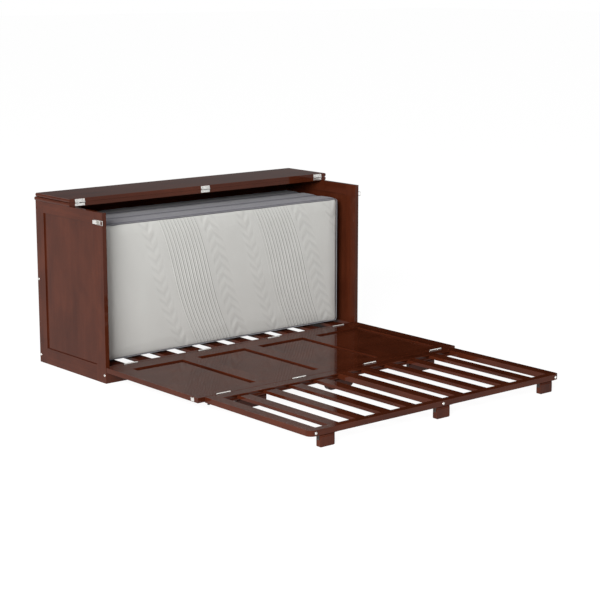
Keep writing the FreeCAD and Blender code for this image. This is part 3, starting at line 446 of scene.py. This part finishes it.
# the mattress cover: pale quilted cloth on the broad sides, grey cloth round the border
coverLook = {
    # paleShade is the pale cloth's colour in painted shade, where the quilting sinks
    "pale": (0.7, 0.7, 0.67), "paleShade": (0.5, 0.5, 0.478),
    "grey": (0.145, 0.14, 0.172), "greyShade": (0.09, 0.087, 0.108),
    "wrap": 0.01, "wrapSoft": 0.0006,  # how far in the grey cloth reaches, and how softly it ends
    "specular": 0.2, "sheen": 0.25, "sheenRoughness": 0.5, "roughness": (0.8, 0.95),
    "knit": 0.0022, "quiltShade": 0.6, "knitShade": 0.4, "knitHigh": 0.03, "relief": 0.0017,
}


def coverMaterial(name, middleY, halfDeep):
    look = coverLook
    mat, tree, shader = newMaterial(
        name, Specular_IOR_Level=look["specular"], Sheen_Weight=look["sheen"],
        Sheen_Roughness=look["sheenRoughness"],
    )
    place = objectPlace(tree)
    depth = calc(tree, "ABSOLUTE", calc(tree, "SUBTRACT", split(tree, place)[1], middleY))
    inside = halfDeep - look["wrap"]
    broad = remap(tree, depth, inside - look["wrapSoft"], inside, 0.0, 1.0)
    quilt = useGroup(
        tree, groups["quilt"], Vector=place, Repeat=quiltLook["repeat"], Sway=quiltLook["sway"]
    )
    knit = useGroup(tree, groups["knit"], Vector=place, Pitch=look["knit"])
    knitted = calc(tree, "MULTIPLY", knit["Shade"], look["knitShade"])
    # the quilting's mask paints shade into the pale cloth, beside the knit's own tone
    shade = calc(tree, "MULTIPLY_ADD", quilt["Mask"], look["quiltShade"], knitted)
    pale = mixColor(tree, shade, look["pale"], look["paleShade"])
    grey = mixColor(tree, knit["Shade"], look["greyShade"], look["grey"])
    tree.links.new(mixColor(tree, broad, grey, pale), shader.inputs["Base Color"])
    tree.links.new(remap(tree, knit["Shade"], 0.0, 1.0, *look["roughness"]), shader.inputs["Roughness"])
    relief = calc(tree, "MULTIPLY", quilt["Height"], broad)
    height = calc(tree, "MULTIPLY_ADD", knit["Height"], look["knitHigh"], relief)
    bump(tree, shader, height, look["relief"])
    return mat


weltLook = {
    "low": (0.2, 0.195, 0.215), "high": (0.33, 0.325, 0.345), "knit": 0.0016,
    "sheen": 0.2, "specular": 0.2, "roughness": (0.75, 0.95), "relief": 0.0003,
}


def weltMaterial():
    look = weltLook
    mat, tree, shader = newMaterial(
        "greyWelt", Sheen_Weight=look["sheen"], Specular_IOR_Level=look["specular"]
    )
    knit = useGroup(tree, groups["knit"], Vector=objectPlace(tree), Pitch=look["knit"])
    tree.links.new(mixColor(tree, knit["Shade"], look["low"], look["high"]), shader.inputs["Base Color"])
    tree.links.new(remap(tree, knit["Shade"], 0.0, 1.0, *look["roughness"]), shader.inputs["Roughness"])
    bump(tree, shader, knit["Height"], look["relief"])
    return mat


finishes["welt"] = weltMaterial()

# the mattress folds: rounded blocks filled with a little air, with a welt round each broad side
foldLook = {
    "inset": (0.004, 0.006, 0.004), "round": 0.017, "roundSteps": 4, "voxel": 0.012,
    "pressure": 4.0, "mass": 0.4, "tension": 20, "frames": 20, "cap": 0.007,
    "dent": 0.0008, "dentScale": 7.0, "sewn": 0.001, "clear": 0.0002,
    "beadRadius": 0.0024, "beadIn": 0.008, "beadOut": 0.0004, "beadStep": 0.06,
}


def roundedBlock(name, low, high, radius):
    mesh = bpy.data.meshes.new(name)
    shape = bmesh.new()
    bmesh.ops.create_cube(shape, size=1)
    for vert in shape.verts:
        for i in range(3):
            vert.co[i] = low[i] if vert.co[i] < 0 else high[i]
    bmesh.ops.bevel(
        shape, geom=shape.edges[:], offset=radius, segments=foldLook["roundSteps"], profile=0.5,
        affect="EDGES",
    )
    shape.to_mesh(mesh)
    shape.free()
    obj = bpy.data.objects.new(name, mesh)
    scene.collection.objects.link(obj)
    return obj


def applyRemesh(obj, voxel):
    bpy.context.view_layer.objects.active = obj
    remesh = obj.modifiers.new("remesh", "REMESH")
    remesh.mode = "VOXEL"
    remesh.voxel_size = voxel
    bpy.ops.object.modifier_apply(modifier=remesh.name)


def applySubdivision(obj):
    bpy.context.view_layer.objects.active = obj
    smooth = obj.modifiers.new("smooth", "SUBSURF")
    smooth.levels = smooth.render_levels = 1
    bpy.ops.object.modifier_apply(modifier=smooth.name)


def inflate(obj, pressure, cap):
    # fills the cover with air for a few frames, and lets no point go further than the cap
    start = [vert.co.copy() for vert in obj.data.vertices]
    cloth = obj.modifiers.new("cloth", "CLOTH")
    cloth.settings.use_pressure = True
    cloth.settings.uniform_pressure_force = pressure
    cloth.settings.effector_weights.gravity = 0
    cloth.settings.mass = foldLook["mass"]
    cloth.settings.tension_stiffness = foldLook["tension"]
    cloth.point_cache.frame_start = 1
    cloth.point_cache.frame_end = foldLook["frames"]
    for step in range(1, foldLook["frames"] + 1):
        scene.frame_set(step)
    filled = obj.evaluated_get(bpy.context.evaluated_depsgraph_get()).data
    moved = [vert.co.copy() for vert in filled.vertices]
    obj.modifiers.remove(cloth)
    flat = []
    for was, now in zip(start, moved):
        away = now - was
        if away.length > cap:
            away = away.normalized() * cap
        flat.extend(was + away)
    obj.data.vertices.foreach_set("co", flat)
    obj.data.update()
    scene.frame_set(1)


def held(value):
    return min(max(value, 0), 1)


def sewnDepth(place, normal):
    # how deep the stitching pulls the cover in, from 0 to 1, on the broad sides only
    look = quiltLook
    broad = held((abs(normal.y) - look["broadFrom"]) / look["broadOver"])
    phase = 2 * math.pi * place.z / look["swayLength"] + look["swayTurn"] * place.x
    along = place.x + look["sway"] * math.sin(phase) + look["lean"] * place.z
    if broad == 0 or along < look["plainUntil"] + look["plainMargin"]:
        return 0
    share = (along + look["offset"]) / look["repeat"] % 1
    depth = 0
    for middle, half, slope in look["leaves"]:
        away = abs(share - middle)
        inLeaf = held((half - away) / look["leafEdge"])
        wave = math.sin(2 * math.pi * (place.z + slope * away) / look["leaf"])
        depth = max(depth, inLeaf * (0.5 - 0.5 * wave))
    for border in look["lines"]:
        near = max(0, 1 - abs(share - border) * look["repeat"] / look["grooveWide"])
        depth = max(depth, look["grooveDeep"] * near)
    return depth * broad


def beadRound(name, obj, low, high, y, mat, body):
    # a welt that follows the cover's edge on the block's own surface
    tree = BVHTree.FromObject(obj, bpy.context.evaluated_depsgraph_get())
    r = foldLook["round"]
    corners = [
        (high.x - r, high.z - r, 0), (low.x + r, high.z - r, 1),
        (low.x + r, low.z + r, 2), (high.x - r, low.z + r, 3),
    ]
    path = []
    for n, (x, z, quarter) in enumerate(corners):
        for i in range(5):
            angle = (quarter + i / 4) * math.pi / 2
            path.append(Vector((x + r * math.cos(angle), y, z + r * math.sin(angle))))
        start = path[-1].copy()
        nextX, nextZ = corners[(n + 1) % 4][:2]
        end = Vector((nextX + r * math.cos(angle), y, nextZ + r * math.sin(angle)))
        steps = int((end - start).length / foldLook["beadStep"])
        for i in range(1, steps):
            path.append(start.lerp(end, i / steps))
    points = []
    for point in path:
        near, normal = tree.find_nearest(point)[:2]
        out = Vector((normal.x, 0, normal.z)) * foldLook["beadOut"]
        points.append(Vector((near.x, y, near.z)) + out)
    curve = bpy.data.curves.new(name, "CURVE")
    curve.dimensions = "3D"
    curve.bevel_depth = foldLook["beadRadius"]
    curve.bevel_resolution = 3
    spline = curve.splines.new("POLY")
    spline.points.add(len(points) - 1)
    for target, point in zip(spline.points, points):
        target.co = point.to_4d()
    spline.use_cyclic_u = True
    bead = bpy.data.objects.new(name, curve)
    scene.collection.objects.link(bead)
    curve.materials.append(mat)
    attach(bead, body)
    return bead


def makeFold(name, node):
    look = foldLook
    low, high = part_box(node)
    inset = Vector(look["inset"])
    fold = roundedBlock(name, low + inset, high - inset, look["round"])
    applyRemesh(fold, look["voxel"])
    inflate(fold, look["pressure"], look["cap"])
    applySubdivision(fold)
    flat = []
    for vert in fold.data.vertices:
        # foam under the cover is never quite flat, and the sewn bands sink into it
        dent = look["dent"] * noise.noise(vert.co * look["dentScale"])
        place = vert.co + vert.normal * (dent - look["sewn"] * sewnDepth(vert.co, vert.normal))
        flat.extend(min(max(place[i], low[i] + look["clear"]), high[i] - look["clear"]) for i in range(3))
    fold.data.vertices.foreach_set("co", flat)
    fold.data.update()
    for face in fold.data.polygons:
        face.use_smooth = True
    fold.data.materials.append(coverMaterial(name + "Cover", (low.y + high.y) / 2, (high.y - low.y) / 2))
    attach(fold, "cabinet")
    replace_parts(fold, node)
    for where, y in (("Front", low.y + look["beadIn"]), ("Back", high.y - look["beadIn"])):
        welt = name + where + "Welt"
        bead = beadRound(welt, fold, low + inset, high - inset, y, finishes["welt"], "cabinet")


for part in ("front", "middle", "back"):
    makeFold("mattress%sFold" % part.capitalize(), "mattress_%s_fold" % part)
    print("mattress", part, "fold made")

# fixings: turned heads with a cross or a hexagon sunk in them, joined into one piece for each body
fixing = {
    "sides": 48,
    "screwRadius": 0.0031, "screwDome": 0.0007, "flushDome": 0.0001, "screwSunk": 0.0004,
    "screwProfile": ((1, 0.1), (0.88, 0.75), (0.76, 1)),  # shares of the radius and of the dome
    "crossLong": 0.0042, "crossWide": 0.22, "crossFloor": 0.2,  # width is a share of length, floor of dome
    "boltRadius": 0.0065, "boltHigh": 0.003, "boltProfile": ((1, 0), (1, 0.55), (0.9, 0.85), (0.68, 1)),
    "hexRadius": 0.0027, "hexDeep": 0.0017, "hexPoint": 0.0003, "shankRadius": 0.003, "shankEase": 0.001,
    "boltRoll": 0.3,
    "leafThick": 0.0016, "leafIn": 0.0062, "leafApart": 0.017, "leafRoll": 0.4,  # lid hinge leaves
    "plateThick": 0.0015, "plateIn": 0.0055, "plateApart": 0.0045, "plateRoll": 1.35,  # latch plates
    "bracketThick": 0.002, "bracketRoll": 0.9,  # leg brackets
}


def reachAt(kind, radius, angle):
    # how far out a round, six-sided or cross-shaped ring stands at an angle
    c, s = max(abs(math.cos(angle)), 1e-6), max(abs(math.sin(angle)), 1e-6)
    if kind == "hex":
        return radius * math.cos(math.pi / 6) / math.cos((angle % (math.pi / 3)) - math.pi / 6)
    if kind == "cross":
        wide = radius * fixing["crossWide"]
        return max(min(radius / c, wide / s), min(radius / s, wide / c))
    return radius


def turnedRings(shape, matrix, rings):
    # a closed shape from rings of (kind, radius, height); what comes after a cross takes the second material,
    # painted shade inside the sunk cross
    last, dark, count = None, 0, fixing["sides"]
    for kind, radius, height in rings:
        ring = []
        for i in range(count):
            angle = 2 * math.pi * i / count
            reach = reachAt(kind, radius, angle)
            place = Vector((reach * math.cos(angle), reach * math.sin(angle), height))
            ring.append(shape.verts.new(matrix @ place))
        if last:
            for i in range(count):
                face = shape.faces.new((last[i], last[(i + 1) % count], ring[(i + 1) % count], ring[i]))
                face.material_index = dark
        else:
            shape.faces.new(ring[::-1])
        # the rings inside a cross get the painted shade
        if kind == "cross":
            dark = 1
        last = ring
    shape.faces.new(last).material_index = dark


def facing(point, direction, roll):
    turn = Vector(direction).to_track_quat("Z", "Y").to_matrix().to_4x4()
    turn.translation = Vector(point)
    return turn @ Euler((0, 0, roll)).to_matrix().to_4x4()


def finishFixings(shape, name, body, finish="steel"):
    bmesh.ops.recalc_face_normals(shape, faces=shape.faces[:])
    mesh = bpy.data.meshes.new(name)
    shape.to_mesh(mesh)
    shape.free()
    obj = bpy.data.objects.new(name, mesh)
    scene.collection.objects.link(obj)
    obj.data.materials.append(finishes[finish])
    # the second material is painted shade inside the sunk crosses
    obj.data.materials.append(finishes["recess"])
    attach(obj, body)
    return obj


def screw(shape, point, direction, roll, dome=fixing["screwDome"]):
    r, cross, floor = fixing["screwRadius"], fixing["crossLong"] / 2, dome * fixing["crossFloor"]
    head = [("round", r * wide, dome * high) for wide, high in fixing["screwProfile"]]
    sunk = [("cross", cross, dome), ("cross", cross * 0.8, floor), ("round", cross * 0.1, floor)]
    turnedRings(shape, facing(point, direction, roll), [("round", r, -fixing["screwSunk"])] + head + sunk)


def bolt(shape, point, direction, long):
    r, high, hexR = fixing["boltRadius"], fixing["boltHigh"], fixing["hexRadius"]
    shank, floor = fixing["shankRadius"], high - fixing["hexDeep"]
    stem = [("round", shank * 0.2, -long), ("round", shank, fixing["shankEase"] - long), ("round", shank, 0)]
    head = [("round", r * wide, high * up) for wide, up in fixing["boltProfile"]]
    sunk = [("hex", hexR, high), ("hex", hexR, floor), ("round", hexR * 0.2, floor - fixing["hexPoint"])]
    turnedRings(shape, facing(point, direction, fixing["boltRoll"]), stem + head + sunk)


# painted shade: the inside of each screw's sunk cross is coloured near black in place of the shade that falls
# there; the noise only varies how deep that painted shade is
recessLook = {
    "cleanOrDeepShade": (0.02, 0.02, 0.02), "wornOrLighterShade": (0.08, 0.075, 0.07), "shadeMottle": {"scale": 900.0, "detail": 2.0},
    "metal": 0.6, "roughness": 0.6,
}


def recessMaterial():
    look = recessLook
    mat, tree, shader = newMaterial("paintedRecessShade", Metallic=look["metal"], Roughness=look["roughness"])
    shadeMottle = noiseOf(tree, objectPlace(tree), **look["shadeMottle"])
    tree.links.new(mixColor(tree, shadeMottle, look["cleanOrDeepShade"], look["wornOrLighterShade"]), shader.inputs["Base Color"])
    return mat


finishes["recess"] = recessMaterial()


def solidBoxes(node):
    # the boxes round a node's separate solids, found from its loose parts, from left to right
    shape = bmesh.new()
    shape.from_mesh(nodes[node].data)
    bmesh.ops.remove_doubles(shape, verts=shape.verts[:], dist=1e-6)
    seen, boxes = set(), []
    for vert in shape.verts:
        if vert in seen:
            continue
        todo, found = [vert], []
        seen.add(vert)
        while todo:
            here = todo.pop()
            found.append(here.co.copy())
            for link in here.link_edges:
                other = link.other_vert(here)
                if other not in seen:
                    seen.add(other)
                    todo.append(other)
        low = Vector([min(p[i] for p in found) for i in range(3)])
        high = Vector([max(p[i] for p in found) for i in range(3)])
        boxes.append((low, high))
    shape.free()
    return sorted(boxes, key=lambda box: box[0].x)


# lid hinges: two flush screws in each leaf
for node, body, name, way in (
    ("lid_hinge_fixed_leaves", "cabinet", "lidHingeLowerScrews", -1),
    ("lid_hinge_moving_leaves", "lid", "lidHingeUpperScrews", 1),
):
    shape = bmesh.new()
    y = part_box("fixed_top_board")[0].y - fixing["leafThick"]
    for n, (low, high) in enumerate(solidBoxes(node)):
        z = low.z + fixing["leafIn"] if way < 0 else high.z - fixing["leafIn"]
        for side in (-1, 1):
            place = ((low.x + high.x) / 2 + side * fixing["leafApart"], y, z)
            screw(shape, place, (0, -1, 0), fixing["leafRoll"] + n + side, fixing["flushDome"])
    finishFixings(shape, name, body)

# latches: two screws in each plate
shape = bmesh.new()
for low, high in solidBoxes("latch_plates"):
    side = -1 if low.x < 0 else 1
    x = side * (abs(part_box("left_front_stile")[0].x) + fixing["plateThick"])
    for up in (-1, 1):
        place = (x, low.y + fixing["plateIn"], (low.z + high.z) / 2 + up * fixing["plateApart"])
        screw(shape, place, (side, 0, 0), up * fixing["plateRoll"])
finishFixings(shape, "latchPlateScrews", "cabinet")

# leg brackets: a screw from below in each
shape = bmesh.new()
for n, (low, high) in enumerate(solidBoxes("leg_brackets")):
    middle = (low + high) / 2
    place = (middle.x, middle.y, high.z - fixing["bracketThick"])
    screw(shape, place, (0, 0, -1), n * fixing["bracketRoll"])
finishFixings(shape, "legBracketScrews", "slat_section", "darkSteel")

# the bolts of the cabinet and of the slatted section
shape = bmesh.new()
for low, high in solidBoxes("cabinet_bolts"):
    side = -1 if low.x < 0 else 1
    face = abs(low.x if side < 0 else high.x) - fixing["boltHigh"]
    place = (side * face, (low.y + high.y) / 2, (low.z + high.z) / 2)
    bolt(shape, place, (side, 0, 0), high.x - low.x - fixing["boltHigh"])
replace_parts(finishFixings(shape, "cabinetBolts", "cabinet"), "cabinet_bolts")
shape = bmesh.new()
for low, high in solidBoxes("section_bolts"):
    middle = (low + high) / 2
    place = (middle.x, low.y + fixing["boltHigh"], middle.z)
    bolt(shape, place, (0, -1, 0), high.y - low.y - fixing["boltHigh"])
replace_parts(finishFixings(shape, "sectionBolts", "slat_section"), "section_bolts")
print("screws and bolts made")

# the studio: a pale floor that keeps the shadow, a white surround, a dark curtain and one soft lamp
studio = {
    "floorSize": 120, "floorParts": 8, "floorDown": 0.0006, "floorRoughness": 0.9,
    "floorColor": (0.86, 0.86, 0.86), "floorGlow": 0.935, "shadowShare": 0.2, "ambient": 0.32,
    "curtainRadius": 40.0, "curtainHigh": 16.0, "curtainUp": 0.02, "curtainSides": 96,
    "curtainFade": (5.4, 8.0), "curtainGlow": (0.26, 0.0),  # dim below the first height, dark from the second
    "lampPlace": (-11.2, -6.7, 5.2), "lampAim": (0, 0.2, 0.4), "lampSize": (7.2, 4.8), "lampPower": 1970,
}


def seenDirectly(tree):
    # 1 for what the camera, a reflection or clear glass shows, 0 for the light on the object
    path = addNode(tree, "ShaderNodeLightPath")
    seen = calc(tree, "MAXIMUM", path.outputs["Is Camera Ray"], path.outputs["Is Glossy Ray"])
    return calc(tree, "MAXIMUM", seen, path.outputs["Is Transmission Ray"])


def makeFloor():
    bpy.ops.mesh.primitive_grid_add(
        x_subdivisions=studio["floorParts"], y_subdivisions=studio["floorParts"],
        size=studio["floorSize"], location=(0, 0, -studio["floorDown"]),
    )
    floor = bpy.context.object
    floor.name = "studioFloor"
    mat, tree, shader = newMaterial(
        "paleFloor", Base_Color=studio["floorColor"] + (1,), Roughness=studio["floorRoughness"],
        Specular_IOR_Level=0.0,
    )
    glow = addNode(tree, "ShaderNodeEmission")
    glow.inputs["Strength"].default_value = studio["floorGlow"] / (1 - studio["shadowShare"])
    mix = addNode(tree, "ShaderNodeMixShader")
    direct = calc(tree, "MULTIPLY", seenDirectly(tree), 1 - studio["shadowShare"])
    tree.links.new(direct, mix.inputs[0])
    tree.links.new(shader.outputs[0], mix.inputs[1])
    tree.links.new(glow.outputs[0], mix.inputs[2])
    tree.links.new(mix.outputs[0], tree.nodes["Material Output"].inputs["Surface"])
    floor.data.materials.append(mat)


def makeWorld():
    world = bpy.data.worlds.new("whiteSurround")
    scene.world = world
    world.use_nodes = True
    tree = world.node_tree
    back = tree.nodes["Background"]
    level = calc(tree, "MULTIPLY_ADD", seenDirectly(tree), 1 - studio["ambient"], studio["ambient"])
    tree.links.new(level, back.inputs["Strength"])
    back.inputs["Color"].default_value = (1, 1, 1, 1)


def makeCurtain():
    # a dark curtain that only reflections meet, so that the lacquer isn't washed out
    high = studio["curtainHigh"]
    bpy.ops.mesh.primitive_cylinder_add(
        vertices=studio["curtainSides"], radius=studio["curtainRadius"], depth=high,
        end_fill_type="NOTHING", location=(0, 0, high / 2 + studio["curtainUp"]),
    )
    curtain = bpy.context.object
    curtain.name = "reflectionCurtain"
    mat, tree = newMaterial("curtain")[:2]
    glow = addNode(tree, "ShaderNodeEmission")
    place = addNode(tree, "ShaderNodeNewGeometry").outputs["Position"]
    level = remap(tree, split(tree, place)[2], *studio["curtainFade"], *studio["curtainGlow"])
    tree.links.new(level, glow.inputs["Strength"])
    tree.links.new(glow.outputs[0], tree.nodes["Material Output"].inputs["Surface"])
    curtain.data.materials.append(mat)
    curtain.visible_camera = False
    curtain.visible_diffuse = False
    curtain.visible_transmission = False
    curtain.visible_shadow = False


def makeLamp():
    lamp = bpy.data.lights.new("keyLamp", "AREA")
    lamp.shape = "RECTANGLE"
    lamp.size, lamp.size_y = studio["lampSize"]
    lamp.energy = studio["lampPower"]
    obj = bpy.data.objects.new("keyLamp", lamp)
    obj.location = studio["lampPlace"]
    aim = Vector(studio["lampAim"]) - Vector(studio["lampPlace"])
    obj.rotation_euler = aim.to_track_quat("-Z", "Y").to_euler()
    scene.collection.objects.link(obj)


makeFloor()
makeWorld()
makeCurtain()
makeLamp()
print("studio set")

# the photograph's view
view = {
    "place": (-5.0185, frontY - 6.4826, 1.9607), "tilt": -11.3957, "turn": 39.9322,
    "lens": 97.69, "sensor": 36, "reach": 300,
}
camera = bpy.data.cameras.new("viewCamera")
camera.lens = view["lens"]
camera.sensor_width = view["sensor"]
camera.clip_end = view["reach"]
cameraObject = bpy.data.objects.new("viewCamera", camera)
cameraObject.location = view["place"]
cameraObject.rotation_euler = (math.radians(90 + view["tilt"]), 0, -math.radians(view["turn"]))
scene.collection.objects.link(cameraObject)
scene.camera = cameraObject
scene.view_settings.view_transform = "Standard"

print("camera placed")
